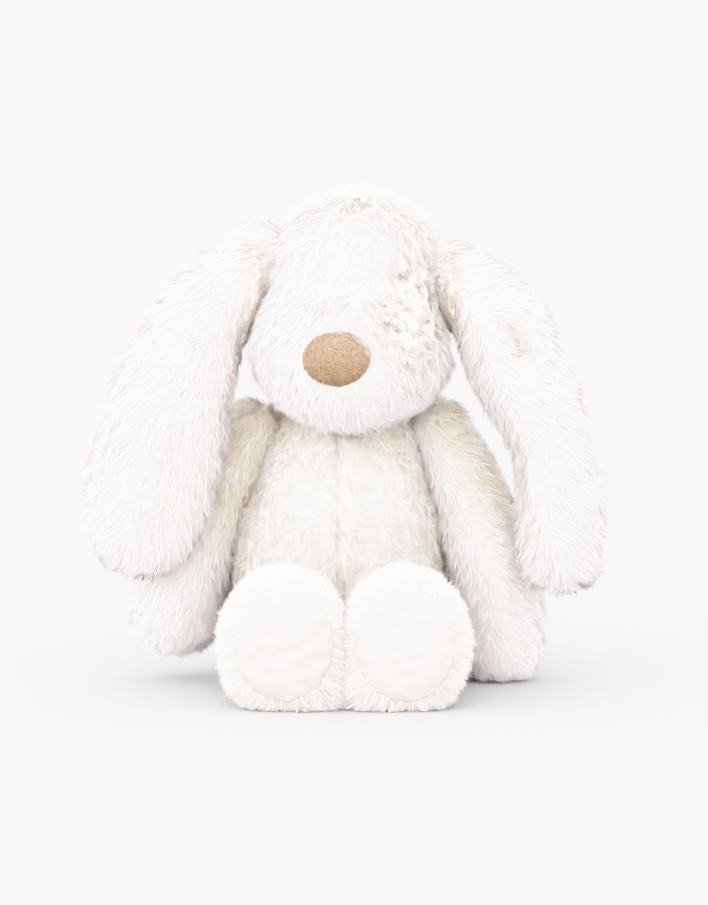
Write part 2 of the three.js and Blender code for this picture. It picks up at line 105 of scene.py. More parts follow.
class Tube:
    """A stuffed tube along a path, the same as the CAD solids but smooth."""

    def __init__(self, spec, up, inset):
        self.P = np.array(spec["path"], float)
        self.W = np.array(spec.get("wide", spec.get("r")), float)[:, None]
        self.D = np.array(spec.get("deep", spec.get("r")), float)[:, None]
        self.cap, self.inset, self.up = spec["cap"], inset, np.array(up, float)
        self.cum = np.concatenate([[0], np.cumsum(np.linalg.norm(np.diff(self.P, axis=0), axis=1))])
        self.L = self.cum[-1]

    def at(self, s, th):
        i = np.clip(np.searchsorted(self.cum, s, side="right") - 1, 0, len(self.P) - 2)
        f = np.clip((s - self.cum[i]) / (self.cum[i + 1] - self.cum[i]), 0, 1)
        c, t = catmull(self.P, i, f)
        t = unit(t)
        w = unit(np.cross(self.up, t))
        d = unit(np.cross(t, w))
        rw = catmull(self.W, i, f)[0][:, 0] - self.inset
        rd = catmull(self.D, i, f)[0][:, 0] - self.inset
        c0, c1 = self.cap[0] - self.inset, self.cap[1] - self.inset
        a0, a1 = s - self.inset, self.L - self.inset - s
        k0 = np.sqrt(np.clip(1 - (np.clip(c0 - a0, 0, c0) / c0) ** 2, 0, 1))
        k1 = np.sqrt(np.clip(1 - (np.clip(c1 - a1, 0, c1) / c1) ** 2, 0, 1))
        k = np.minimum(k0, k1)
        p = c + w * (np.cos(th) * rw * k)[:, None] + d * (np.sin(th) * rd * k)[:, None]
        return p, t, w, d, rw * k, rd * k

    def inside(self, p, margin):
        """Which of the points are inside the tube grown by margin."""
        s = np.linspace(self.inset, self.L - self.inset, 40)
        c, t, w, d, rw, rd = self.at(s, np.zeros_like(s))
        c = c - w * rw[:, None]
        best = np.full(len(p), 9.0)
        for k in range(len(s)):
            v = p - c[k]
            along = v @ t[k]
            a, b = v @ w[k], v @ d[k]
            q = np.sqrt((a / (rw[k] + margin + 1e-6)) ** 2 + (b / (rd[k] + margin + 1e-6)) ** 2 + (along / 9.0) ** 2)
            best = np.minimum(best, q)
        return best < 1


def head_turn(p, back=False):
    q = p - NECK
    cz, sz, cy, sy = math.cos(HEAD_YAW), math.sin(HEAD_YAW), math.cos(HEAD_ROLL), math.sin(HEAD_ROLL)
    Rz = np.array([[cz, -sz, 0], [sz, cz, 0], [0, 0, 1]])
    Ry = np.array([[cy, 0, sy], [0, 1, 0], [-sy, 0, cy]])
    R = Ry @ Rz
    return (q @ R if back else q @ R.T) + NECK


def head_dir(v):
    return head_turn(np.atleast_2d(np.array(v, float)) + NECK) - NECK


def head_surface(d, inset):
    rs = []
    for c, r in HEAD_LOBES:
        r = np.array(r)
        o, e = (HEAD_CENTRE - np.array(c)) / r, d / r
        A, B, K = (e ** 2).sum(1), (e * o).sum(1), (o ** 2).sum() - 1
        rs.append((-B + np.sqrt(np.maximum(0, B * B - A * K))) / A)
    rs = np.array(rs)
    m = rs.max(0)
    soft = m - 1.8 + HEAD_SOFT * np.log(np.exp((rs - m) / HEAD_SOFT).sum(0))
    for v, a, w in HEAD_BUMPS:
        v = np.array(v) / np.linalg.norm(v)
        soft = soft + a * np.exp(-(np.arccos(np.clip(d @ v, -1, 1)) / math.radians(w)) ** 2)
    return head_turn(HEAD_CENTRE + d * (soft - inset)[:, None])


# ------------------------------------------------------------------ smooth noise, the same every run
class Waves:
    def __init__(self, seed, size, n=14):
        r = np.random.default_rng(seed)
        k = r.normal(size=(n, 3))
        self.k = k / np.linalg.norm(k, axis=1)[:, None] * (2 * np.pi / (size * r.uniform(0.7, 1.5, (n, 1))))
        self.ph = r.uniform(0, 2 * np.pi, n)

    def __call__(self, p):
        return np.sin(p @ self.k.T + self.ph).sum(1) / math.sqrt(len(self.ph) / 2) * 0.6


# ------------------------------------------------------------------ mesh helpers
def grid_skin(at, nu, nv):
    """Close a surface at(v, u) -> points with a pole at each end. Rows run along v."""
    v = (1 - np.cos(np.linspace(0, np.pi, nv + 1))) / 2 * 0.6 + np.linspace(0, 1, nv + 1) * 0.4
    u = np.arange(nu) / nu * 2 * np.pi
    vv, uu = np.meshgrid(v[1:-1], u, indexing="ij")
    body = at(vv.ravel(), uu.ravel())
    ends = at(np.array([0.0, 1.0]), np.array([0.0, 0.0]))
    V = np.vstack([body, ends])
    a = np.arange(nu)
    b = (a + 1) % nu
    tri = []
    for r in range(nv - 2):
        o, q = r * nu, (r + 1) * nu
        tri += [np.stack([o + a, o + b, q + b], 1), np.stack([o + a, q + b, q + a], 1)]
    n0, n1 = len(body), len(body) + 1
    tri += [np.stack([np.full(nu, n0), b, a], 1), np.stack([np.full(nu, n1), (nv - 2) * nu + a, (nv - 2) * nu + b], 1)]
    F = np.vstack(tri)
    vol = np.einsum("ij,ij->i", V[F[:, 0]], np.cross(V[F[:, 1]], V[F[:, 2]])).sum()
    if vol < 0:
        F = F[:, ::-1]
    return V, np.ascontiguousarray(F)


def normals(V, F):
    fn = np.cross(V[F[:, 1]] - V[F[:, 0]], V[F[:, 2]] - V[F[:, 0]])
    N = np.zeros_like(V)
    for k in range(3):
        np.add.at(N, F[:, k], fn)
    return unit(N)


def make_mesh(name, V, F, mat, smooth=True, attrs=None, nrm=None):
    me = bpy.data.meshes.new(name)
    me.vertices.add(len(V))
    me.vertices.foreach_set("co", (np.asarray(V) * MM).astype(np.float32).ravel())
    n = F.shape[1]
    me.loops.add(F.size)
    me.loops.foreach_set("vertex_index", F.astype(np.int32).ravel())
    me.polygons.add(len(F))
    me.polygons.foreach_set("loop_start", np.arange(0, F.size, n, dtype=np.int32))
    me.update(calc_edges=True)
    me.polygons.foreach_set("use_smooth", np.full(len(F), smooth))
    for key, val in (attrs or {}).items():
        a = me.attributes.new(key, "FLOAT", "POINT")
        a.data.foreach_set("value", val.astype(np.float32))
    if nrm is not None:
        a = me.attributes.new("custom_normal", "FLOAT_VECTOR", "POINT")
        a.data.foreach_set("vector", nrm.astype(np.float32).ravel())
    if mat is not None:
        me.materials.append(mat)
    ob = bpy.data.objects.new(name, me)
    bpy.context.scene.collection.objects.link(ob)
    return ob


# ------------------------------------------------------------------ stuffed cloth
def evaluated(ob):
    dg = bpy.context.evaluated_depsgraph_get()
    return bpy.data.meshes.new_from_object(ob.evaluated_get(dg))


def mesh_vf(me):
    V = np.empty(len(me.vertices) * 3, np.float32)
    me.vertices.foreach_get("co", V)
    me.calc_loop_triangles()
    F = np.empty(len(me.loop_triangles) * 3, np.int32)
    me.loop_triangles.foreach_get("vertices", F)
    return V.reshape(-1, 3).astype(float) / MM, F.reshape(-1, 3).astype(int)


def run_cloth(ob, pressure, frames, pin="", shrink=0.0, bending=0.5, tension=15.0):
    m = ob.modifiers.new("stuffing", "CLOTH")
    c = m.settings
    c.use_pressure = True
    c.uniform_pressure_force = pressure
    c.effector_weights.gravity = 0
    c.bending_stiffness = bending
    c.tension_stiffness = c.compression_stiffness = tension
    c.shrink_min = shrink
    if pin:
        c.vertex_group_mass = pin
    m.point_cache.frame_start, m.point_cache.frame_end = 1, frames
    sc = bpy.context.scene
    for f in range(1, frames + 1):
        sc.frame_set(f)
    me = evaluated(ob)
    ob.modifiers.remove(m)
    sc.frame_set(1)
    return me


def cap_move(old, new, cap):
    a, b = np.empty(len(old.vertices) * 3, np.float32), np.empty(len(new.vertices) * 3, np.float32)
    old.vertices.foreach_get("co", a)
    new.vertices.foreach_get("co", b)
    a, b = a.reshape(-1, 3), b.reshape(-1, 3)
    d = b - a
    ln = np.linalg.norm(d, axis=1, keepdims=True)
    d *= np.minimum(1, cap * MM / np.maximum(ln, 1e-9))
    new.vertices.foreach_set("co", (a + d).ravel())


def puff(V, F, start=2.0, voxel=4.0, pressure=4.0, frames=20):
    """Remesh a cover that starts a little small, swell it as cloth, cap the movement and subdivide once.

    start is how much too small it is, in mm; what the swelling leaves over is made up evenly."""
    size0 = abs(np.einsum("ij,ij->i", V[F[:, 0]], np.cross(V[F[:, 1]], V[F[:, 2]])).sum() / 6), area_of(V, F)
    sc = bpy.context.scene
    ob = make_mesh("swell", V, F, None)
    r = ob.modifiers.new("r", "REMESH")
    r.mode, r.voxel_size = "VOXEL", voxel * MM
    raw = evaluated(ob)
    ob.modifiers.remove(r)
    ob.data = raw
    me = run_cloth(ob, pressure, frames)
    cap_move(raw, me, start + 0.5)
    ob.data = me
    ob.modifiers.new("s", "SUBSURF").levels = 1
    V, F = mesh_vf(evaluated(ob))
    bpy.data.objects.remove(ob)
    vol = abs(np.einsum("ij,ij->i", V[F[:, 0]], np.cross(V[F[:, 1]], V[F[:, 2]])).sum() / 6)
    swell = (vol - size0[0]) / size0[1]
    print("swelled", round(swell, 2), "mm", flush=True)
    return V + normals(V, F) * (start - swell), F


# ------------------------------------------------------------------ fur made of small closed locks
def sample(V, F, N, count, rng, weight=None):
    a, b, c = V[F[:, 0]], V[F[:, 1]], V[F[:, 2]]
    area = np.linalg.norm(np.cross(b - a, c - a), axis=1) / 2
    if weight is not None:
        area = area * weight[F].mean(1)
    cum = np.cumsum(area)
    t = np.searchsorted(cum, rng.random(count) * cum[-1])
    t = np.clip(t, 0, len(F) - 1)
    r1, r2 = np.sqrt(rng.random(count)), rng.random(count)
    w = np.stack([1 - r1, r1 * (1 - r2), r1 * r2], 1)
    P = (V[F[t]] * w[:, :, None]).sum(1)
    M = unit((N[F[t]] * w[:, :, None]).sum(1))
    return P, M, t, w


def area_of(V, F):
    return np.linalg.norm(np.cross(V[F[:, 1]] - V[F[:, 0]], V[F[:, 2]] - V[F[:, 0]]), axis=1).sum() / 2


MAX_FACES = 190000
T_LOCK = np.array([(0, 2, 1), (0, 1, 4), (0, 4, 3), (1, 2, 5), (1, 5, 4), (2, 0, 3), (2, 3, 5), (3, 4, 6), (4, 5, 6), (5, 3, 6)])
T_HAIR = np.array([(0, 2, 1), (0, 1, 3), (1, 2, 3), (2, 0, 3)])


def strands(P, M, c, side, L, al, K, width, spread, gather, curl, rng, bent, own=0.45, tilt=0.13):
    """Closed tapered strands round each tuft centre. Bent ones have a knee, the fine ones are straight."""
    n = len(P)
    off = rng.normal(size=(n, K, 2)) * spread * 0.62
    Lk = L[:, None] * rng.uniform(0.72, 1.08, (n, K))
    ak = al[:, None] + rng.normal(size=(n, K)) * 0.12
    m0, c0, s0 = M[:, None], c[:, None], side[:, None]
    root = P[:, None] + c0 * off[..., :1] + s0 * off[..., 1:]
    d0 = m0 * np.cos(ak)[..., None] + c0 * np.sin(ak)[..., None] + s0 * rng.normal(size=(n, K, 1)) * tilt
    bend = (c0 * 0.30 - m0 * 0.42) * curl + s0 * rng.normal(size=(n, K, 1)) * 0.16 * curl
    ls = Lk[..., None]
    pull = P[:, None] - root
    pull = pull - m0 * (pull * m0).sum(-1, keepdims=True)
    mid = root + d0 * ls * 0.5 + bend * ls * 0.25 + pull * gather * 0.45
    tip = root + d0 * ls + bend * ls + pull * gather * 1.5
    base = root - m0 * 0.7
    m = n * K
    base, mid, tip = base.reshape(m, 3), mid.reshape(m, 3), tip.reshape(m, 3)
    ax = unit(mid - base)
    S = np.repeat(side, K, 0)
    U = unit(np.cross(S, ax))
    S = unit(np.cross(ax, U))
    W = width * rng.uniform(0.75, 1.25, m) * np.clip(np.repeat(L, K) / 9.0, 0.35, 1.1)
    tw = rng.uniform(-0.7, 0.7, m)
    S, U = S * np.cos(tw)[:, None] + U * np.sin(tw)[:, None], U * np.cos(tw)[:, None] - S * np.sin(tw)[:, None]
    MM3 = np.repeat(unit(np.stack([M[:, 0], M[:, 1], np.where(M[:, 2] < 0, M[:, 2] * 0.4, M[:, 2])], 1)), K, 0)
    rad = np.stack([unit(-S * 0.5 - U * 0.16), unit(S * 0.5 - U * 0.16), U], 1)

    def ring(cc, ww):
        return np.stack([cc - S * (ww * 0.5)[:, None] - U * (ww * 0.16)[:, None], cc + S * (ww * 0.5)[:, None] - U * (ww * 0.16)[:, None], cc + U * (ww * 0.34)[:, None]], 1)
    nrm = MM3[:, None] + rad * own
    if bent:
        VV = np.concatenate([ring(base, W * 0.9), ring(mid, W * 0.85), tip[:, None]], 1)
        NN = np.concatenate([nrm, nrm, MM3[:, None] + unit(tip - mid)[:, None] * 0.25], 1)
        tp = np.array([0, 0, 0, 0.5, 0.5, 0.5, 1.0])
        T = T_LOCK
    else:
        VV = np.concatenate([ring(base, W), tip[:, None]], 1)
        NN = np.concatenate([nrm, MM3[:, None] + ax[:, None] * 0.25], 1)
        tp = np.array([0, 0, 0, 1.0])
        T = T_HAIR
    VV[..., 2] = np.maximum(VV[..., 2], 0.25)
    if np.einsum("ij,ij->i", VV[0][T[:, 0]], np.cross(VV[0][T[:, 1]], VV[0][T[:, 2]])).sum() < 0 or \
            np.linalg.det(np.stack([VV[0][1] - VV[0][0], VV[0][2] - VV[0][0], VV[0][-1] - VV[0][0]])) < 0:
        T = T[:, ::-1]
    shade = np.repeat(rng.random(n), K) * 0.6 + rng.random(m) * 0.4
    return VV, unit(NN), T, np.tile(tp, (m, 1)), np.repeat(shade[:, None], VV.shape[1], 1)


def fur(name, body, V, F, mat, comb, per_mm2=0.235, locks=1, hairs=16, length=10.5, width=0.55, fine=0.33, spread=1.65, lean=55,
        jitter=0.35, seed=1, keep=None, size=None, gather=0.36, curl=0.5, weight=None, own=0.38, lumps=1.0, ruffle=None, patch=None):
    """Tufts of closed tapered strands over a skin, combed along comb(points, normals)."""
    rng = np.random.default_rng(seed)
    N = normals(V, F)
    n = int(area_of(V, F) * per_mm2)
    P, M, _, _ = sample(V, F, N, n * 4, rng, weight)
    h = math.sqrt(1.5 / per_mm2) * (1.0 if weight is None else 0.8)
    key = np.floor((P + rng.random(3) * h) / h).astype(np.int64)
    key = (key[:, 0] * 73856093) ^ (key[:, 1] * 19349663) ^ (key[:, 2] * 83492791)
    _, first = np.unique(key, return_index=True)
    P, M = P[first], M[first]
    if keep is not None:
        k = keep(P, M)
        P, M = P[k], M[k]
    n = len(P)
    c = comb(P, M)
    c = unit(c - M * (c * M).sum(1)[:, None])
    side = np.cross(M, c)
    w1, w2 = Waves(seed + 100, 17), Waves(seed + 200, 6)
    ang = jitter * (0.75 * w1(P) + 0.6 * w2(P) + rng.normal(size=n) * 0.35)
    rf = np.zeros(n) if ruffle is None else ruffle(P)
    ang = ang + rf * (1.2 * Waves(seed + 300, 5)(P) + rng.normal(size=n) * 0.5)
    c = c * np.cos(ang)[:, None] + side * np.sin(ang)[:, None]
    side = np.cross(M, c)
    L = length * (0.88 + (0.08 * w1(P + 50) + 0.05 * w2(P + 90)) * lumps + rng.normal(size=n) * 0.07)
    if size is not None:
        L = L * size(P, M)
    L = np.clip(L * (1 - 0.22 * np.minimum(rf, 2.4)), 0.8, length * 1.3)
    al = np.radians(lean + (9 * w2(P + 20)) * lumps + rng.normal(size=n) * 6 + rf * 16 * Waves(seed + 400, 6)(P))
    out, chunks = [], []
    for K, wd, bent in ((locks, width, True), (hairs, fine, False)):
        if K:
            chunks.append(strands(P, M, c, side, L, al, K, wd, spread, gather, curl, rng, bent, own))
    pp = np.zeros(n) if patch is None else patch(P) * rng.uniform(0.15, 1, n)
    chunks = [ch + (np.repeat(np.repeat(pp, K)[:, None], ch[0].shape[1], 1),) for ch, K in zip(chunks, [k for k in (locks, hairs) if k])]
    total = sum(len(ch[0]) * len(ch[2]) for ch in chunks)
    parts = max(1, math.ceil(total / MAX_FACES))
    zs = np.concatenate([ch[0][:, 0, 2] for ch in chunks])
    cuts = np.quantile(zs, np.linspace(0, 1, parts + 1))
    cuts[0], cuts[-1] = -1e9, 1e9
    for q in range(parts):
        pv, pn, pf, pt, ps, pq, base = [], [], [], [], [], [], 0
        for VV, NN, T, tp, sh, pa in chunks:
            k = (VV[:, 0, 2] >= cuts[q]) & (VV[:, 0, 2] < cuts[q + 1])
            m, w = k.sum(), VV.shape[1]
            pv.append(VV[k].reshape(-1, 3)); pn.append(NN[k].reshape(-1, 3))
            pf.append((T[None] + (np.arange(m) * w)[:, None, None] + base).reshape(-1, 3))
            pt.append(tp[k].ravel()); ps.append(sh[k].ravel()); pq.append(pa[k].ravel())
            base += m * w
        ob = make_mesh(f"{name}_{q + 1}" if parts > 1 else name, np.vstack(pv), np.vstack(pf), mat,
                       attrs={"tip": np.concatenate(pt), "lock": np.concatenate(ps), "patch": np.concatenate(pq)}, nrm=np.vstack(pn))
        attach(ob, body)
        out.append(ob)
    return out


# ------------------------------------------------------------------ materials
def new_mat(name):
    m = bpy.data.materials.new(name)
    m.use_nodes = True
    nt = m.node_tree
    b = nt.nodes["Principled BSDF"]
    return m, nt, b


def fur_material(name, root, tip, dark, deep=(0.70, 0.67, 0.60), scale=55, sheen=0.25):
    """Pile: warmer at the root, paler at the tip, with soft patches over the cloth. The darker, warmer root is painted
    shade deep in the pile, and the patch attribute mixes in deep, mostly as painted shade.
    """
    m, nt, b = new_mat(name)
    at = nt.nodes.new("ShaderNodeAttribute"); at.attribute_name = "tip"
    lk = nt.nodes.new("ShaderNodeAttribute"); lk.attribute_name = "lock"
    ramp = nt.nodes.new("ShaderNodeValToRGB")
    ramp.color_ramp.elements[0].color = (*root, 1)
    ramp.color_ramp.elements[1].color = (*tip, 1)
    ramp.color_ramp.elements[1].position = 0.75
    nt.links.new(at.outputs["Fac"], ramp.inputs["Fac"])
    tc = nt.nodes.new("ShaderNodeTexCoord")
    nz = nt.nodes.new("ShaderNodeTexNoise")
    nz.inputs["Scale"].default_value = scale
    nz.inputs["Detail"].default_value = 3
    nt.links.new(tc.outputs["Object"], nz.inputs["Vector"])
    add = nt.nodes.new("ShaderNodeMath"); add.operation = "MULTIPLY_ADD"
    nt.links.new(lk.outputs["Fac"], add.inputs[0])
    add.inputs[1].default_value = 0.35
    nt.links.new(nz.outputs["Fac"], add.inputs[2])
    r2 = nt.nodes.new("ShaderNodeMapRange")
    r2.inputs["From Min"].default_value = 0.45
    r2.inputs["From Max"].default_value = 0.95
    r2.inputs["To Min"].default_value = 0.0
    r2.inputs["To Max"].default_value = 0.35
    nt.links.new(add.outputs[0], r2.inputs["Value"])
    mix = nt.nodes.new("ShaderNodeMix"); mix.data_type = "RGBA"
    nt.links.new(r2.outputs["Result"], mix.inputs["Factor"])
    nt.links.new(ramp.outputs["Color"], mix.inputs["A"])
    mix.inputs["B"].default_value = (*dark, 1)
    # patch mixes in deep: painted shade wherever the caller's mask puts it
    pa = nt.nodes.new("ShaderNodeAttribute"); pa.attribute_name = "patch"
    mix2 = nt.nodes.new("ShaderNodeMix"); mix2.data_type = "RGBA"
    nt.links.new(pa.outputs["Fac"], mix2.inputs["Factor"])
    nt.links.new(mix.outputs["Result"], mix2.inputs["A"])
    mix2.inputs["B"].default_value = (*deep, 1)
    nt.links.new(mix2.outputs["Result"], b.inputs["Base Color"])
    b.inputs["Roughness"].default_value = 0.85
    b.inputs["Specular IOR Level"].default_value = 0.15
    b.inputs["Sheen Weight"].default_value = sheen
    b.inputs["Sheen Roughness"].default_value = 0.5
    b.inputs["Sheen Tint"].default_value = (1, 0.98, 0.97, 1)
    return m


def cloth_material(name, a, bcol, scale=260, bump=0.25, dist=0.0004, rough=0.9, sheen=0.4, weave=False):
    m, nt, b = new_mat(name)
    tc = nt.nodes.new("ShaderNodeTexCoord")
    nz = nt.nodes.new("ShaderNodeTexNoise")
    nz.inputs["Scale"].default_value = scale / 4
    nz.inputs["Detail"].default_value = 5
    nt.links.new(tc.outputs["Object"], nz.inputs["Vector"])
    ramp = nt.nodes.new("ShaderNodeValToRGB")
    ramp.color_ramp.elements[0].position, ramp.color_ramp.elements[1].position = 0.3, 0.7
    ramp.color_ramp.elements[0].color = (*a, 1)
    ramp.color_ramp.elements[1].color = (*bcol, 1)
    nt.links.new(nz.outputs["Fac"], ramp.inputs["Fac"])
    nt.links.new(ramp.outputs["Color"], b.inputs["Base Color"])
    fine = nt.nodes.new("ShaderNodeTexNoise")
    fine.inputs["Scale"].default_value = scale * 4
    fine.inputs["Detail"].default_value = 4
    nt.links.new(tc.outputs["Object"], fine.inputs["Vector"])
    bp = nt.nodes.new("ShaderNodeBump")
    bp.inputs["Strength"].default_value = bump
    bp.inputs["Distance"].default_value = dist
    nt.links.new(fine.outputs["Fac"], bp.inputs["Height"])
    nt.links.new(bp.outputs["Normal"], b.inputs["Normal"])
    b.inputs["Roughness"].default_value = rough
    b.inputs["Specular IOR Level"].default_value = 0.15
    b.inputs["Sheen Weight"].default_value = sheen
    b.inputs["Sheen Roughness"].default_value = 0.5
    return m


# Roots are painted shade deep in the pile. deep is the painted shade that patch mixes in: ear folds and the left ear's
# dimple, the cheek's ruffled gaps, armpits and under the chin, the arms under the head, round the soles and towards
# the floor, the nose's lower side. The body's deep also marks the front seam and random matted spots, and the nose's
# also its random grain.
M_HEAD = fur_material("pile_head", (0.91, 0.82, 0.72), (0.96, 0.897, 0.905), (0.91, 0.87, 0.85), deep=(0.22, 0.21, 0.16))
M_EAR = fur_material("pile_ear", (0.91, 0.81, 0.71), (0.96, 0.893, 0.898), (0.92, 0.85, 0.83), deep=(0.52, 0.41, 0.29))
M_BODY = fur_material("pile_body", (0.91, 0.83, 0.74), (0.965, 0.90, 0.895), (0.93, 0.87, 0.82), deep=(0.76, 0.65, 0.44))
M_LIMB = fur_material("pile_limb", (0.955, 0.885, 0.815), (0.985, 0.93, 0.93), (0.955, 0.90, 0.875), deep=(0.78, 0.65, 0.37))
M_LEG = fur_material("pile_leg", (0.93, 0.855, 0.78), (0.955, 0.893, 0.89), (0.92, 0.865, 0.82), deep=(0.66, 0.56, 0.42))
# The cover under the pile is warmer and darker than the pile: painted shade where it shows between the tufts.
M_SKIN = cloth_material("pile_ground", (0.80, 0.71, 0.58), (0.86, 0.78, 0.67), scale=300)
M_PAD = cloth_material("sole_velour", (0.50, 0.44, 0.415), (0.545, 0.48, 0.455), scale=200, bump=0.3, dist=0.0003, sheen=0.15)
M_NOSE = cloth_material("nose_ground", (0.30, 0.19, 0.11), (0.38, 0.25, 0.16), scale=300, sheen=0.1)
M_NOSE_PILE = fur_material("nose_pile", (0.28, 0.185, 0.117), (0.445, 0.325, 0.238), (0.36, 0.24, 0.155), deep=(0.26, 0.155, 0.085), scale=180, sheen=0.1)

BODIES = frame["record"]["behaviour"]["bodies"]


def skin_piece(name, body, V, F, mat, nodes):
    ob = make_mesh(name, V, F, mat)
    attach(ob, body)
    if nodes:
        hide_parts(*nodes)
    return ob


def tube_skin(spec, up, inset, nu=72, nv=72, shape=None, start=2.0, floor=1.0):
    T = Tube(spec, up, inset)
    T0 = Tube(spec, up, inset + start)

    def at(v, u):
        s = T0.inset + (T0.L - 2 * T0.inset) * v
        return T0.at(s, u)[0]
    V, F = puff(*grid_skin(at, nu, nv), start=start)
    if shape is not None:
        V = shape(V)
    V[:, 2] = np.where(V[:, 2] < floor, floor + (V[:, 2] - floor) * 0.01, V[:, 2])
    return T, V, F


def path_comb(T, part=None, div=0.0, pull=(0, 0, 0), soft=6.0):
    """Fur direction along a tube's path, parted along a line part = [(share of length, offset towards +X)]."""
    s = np.linspace(T.inset, T.L - T.inset, 60)
    c, t, w, d, rw, rd = T.at(s, np.zeros_like(s))
    c = c - w * rw[:, None]
    sgn = np.sign(w[:, :1] + 1e-9)
    pull = np.array(pull, float)
    q0 = np.zeros(len(s)) if part is None else np.interp(s / T.L, [p[0] for p in part], [p[1] for p in part])

    def comb(P, M):
        best = np.full(len(P), 1e9)
        idx = np.zeros(len(P), int)
        for k in range(len(s)):
            dd = ((P - c[k]) ** 2).sum(1)
            b = dd < best
            best[b] = dd[b]
            idx[b] = k
        ww = w[idx] * sgn[idx]
        q = ((P - c[idx]) * ww).sum(1) - q0[idx]
        return t[idx] + ww * (div * np.tanh(q / soft))[:, None] + pull
    return comb


INSET = 0.5

def near_line(P, pts, r):
    """1 on the line through pts, falling to 0 past r mm."""
    pts = np.array(pts, float)
    best = np.full(len(P), 1e9)
    for a, b in zip(pts[:-1], pts[1:]):
        ab = b - a
        t = np.clip((P - a) @ ab / (ab @ ab), 0, 1)
        best = np.minimum(best, np.linalg.norm(P - a - t[:, None] * ab, axis=1))
    return np.exp(-(best / r) ** 2)


def fold(P, side):
    """Where an ear is folded against the head: a line seen from the front, on the front of the toy."""
    pts = [(-43.5, 0, 219), (-42.5, 0, 209), (-41.5, 0, 200), (-46, 0, 188), (-49.5, 0, 177), (-51, 0, 165)] if side == "right" else \
        [(50, 0, 214), (51.5, 0, 204), (53, 0, 192), (54, 0, 180), (54, 0, 172)]
    return near_line(P * [1, 0, 1], pts, 3.6) * np.clip((-P[:, 1] - 22) / 8, 0, 1)


DIMPLE = [(81, -50, 181.5), (86, -50, 171)]
RIDGE = [(54.7, -50, 214.9), (66, -50, 180), (77, -54, 145.2), (86.9, -56, 110.7), (98, -56, 84), (106.7, -56, 65.9)]

# ---- torso
T_arm = {s: Tube(ARMS[s], UP_Y, 2.0) for s in ARMS}
T_leg = {s: Tube(leg_spec(s), UP_Z, 2.0) for s in ("left", "right")}
T_ear = {s: Tube(EARS[s], UP_Y, 2.0) for s in EARS}
SEAM_X = -3.5


def torso_shape(p):
    front = np.clip(-p[:, 1] / 10, 0, 1)
    groove = np.exp(-((p[:, 0] - SEAM_X) / 1.7) ** 2) * front * 3.2
    ridge = np.exp(-((np.abs(p[:, 0] - SEAM_X) - 5) / 3.0) ** 2) * front * 1.0
    out = unit(np.stack([p[:, 0] / 48, p[:, 1] / 42, np.zeros(len(p))], 1))
    lump = Waves(7, 34)(p) * 1.0
    full = 4.0 * np.clip((-p[:, 0] - 25) / 22, 0, 1) * np.exp(-((p[:, 2] - 62) / 36) ** 2)
    p = p + out * (ridge - groove + lump + full)[:, None]
    side = np.exp(-((p[:, 1] - 4) / 2.2) ** 2) * 1.0
    return p - out * side[:, None]


T, V, F = tube_skin(TORSO, UP_Y, INSET, 72, 60, torso_shape)
skin_piece("torso_cover", "torso", V, F, M_SKIN, [n for n in BODIES["torso"] if not n.startswith("tail")])


def torso_comb(P, M):
    x = P[:, 0] - SEAM_X
    front = P[:, 1] < 2
    part = np.tanh(x / 1.5) * np.exp(-np.abs(x) / 11) * 0.6 * front + 0.12 * np.tanh(x / 20)
    return np.stack([part, np.zeros(len(P)), -np.ones(len(P))], 1)


def torso_keep(P, M):
    k = np.ones(len(P), bool)
    for t in T_arm.values():
        k &= ~t.inside(P, -2.5)
    for t in T_leg.values():
        k &= ~t.inside(P, -2.5)
    d = np.linalg.norm(P - NECK, axis=1)
    return k & (P[:, 2] > 1.4) & (d > 17) & ((np.abs(P[:, 0] - SEAM_X) > 0.8) | (P[:, 1] > 0))


def torso_size(P, M):
    x = np.abs(P[:, 0] - SEAM_X)
    front = P[:, 1] < 0
    return np.where(front, 0.72 + 0.28 * np.clip(x / 4, 0, 1), 1.0) * np.where(P[:, 2] < 5, 0.5, 1)


def torso_shade_and_spots(P):
    """Painted shade: warmer pile in the armpits and under the chin. Also warmer along the front seam and in small
    matted spots, which vary at random.
    """
    edge = np.clip(np.maximum((np.abs(P[:, 0] + 2) - 36) / 14, (P[:, 2] - 114) / 20), 0, 0.9) * (0.75 + 0.25 * Waves(4, 9)(P)) * np.clip((2 - P[:, 1]) / 12, 0, 1)
    seam = np.exp(-((P[:, 0] - SEAM_X) / 2.0) ** 2) * (P[:, 1] < 0) * 0.9
    spots = np.clip(Waves(14, 6)(P) - 0.45, 0, 1) * 0.8 * (P[:, 1] < 0)
    return np.clip(np.maximum(np.maximum(edge, seam), spots), 0, 1)


fur("fur_torso", "torso", V, F, M_BODY, torso_comb, seed=21, keep=torso_keep, size=torso_size, length=9.5, lean=50, jitter=0.5, curl=0.8, ruffle=lambda P: 0.75 * (P[:, 1] < 0),
    patch=torso_shade_and_spots)

# ---- tail
def ball(at, r, nu=40, nv=30):
    at, r = np.array(at, float), np.array(r, float) * np.ones(3)

    def f(v, u):
        ph = v * np.pi
        return at + np.stack([np.sin(ph) * np.cos(u), np.sin(ph) * np.sin(u), np.cos(ph)], 1) * r
    return grid_skin(f, nu, nv)


V, F = ball(TAIL["at"], TAIL["r"] - 3)
skin_piece("tail_cover_soft", "torso", V, F, M_SKIN, ["tail_cover", "tail_stuffing"])
fur("fur_tail", "torso", V, F, M_BODY, lambda P, M: np.tile([0, 0.3, -1.0], (len(P), 1)), seed=22, lean=22, length=9, 
    keep=lambda P, M: P[:, 1] > 44)

# ---- head
def head_at(v, u):
    ph = v * np.pi
    d = np.stack([np.sin(ph) * np.cos(u), np.sin(ph) * np.sin(u), np.cos(ph)], 1)
    return head_surface(d, INSET + 2.0)


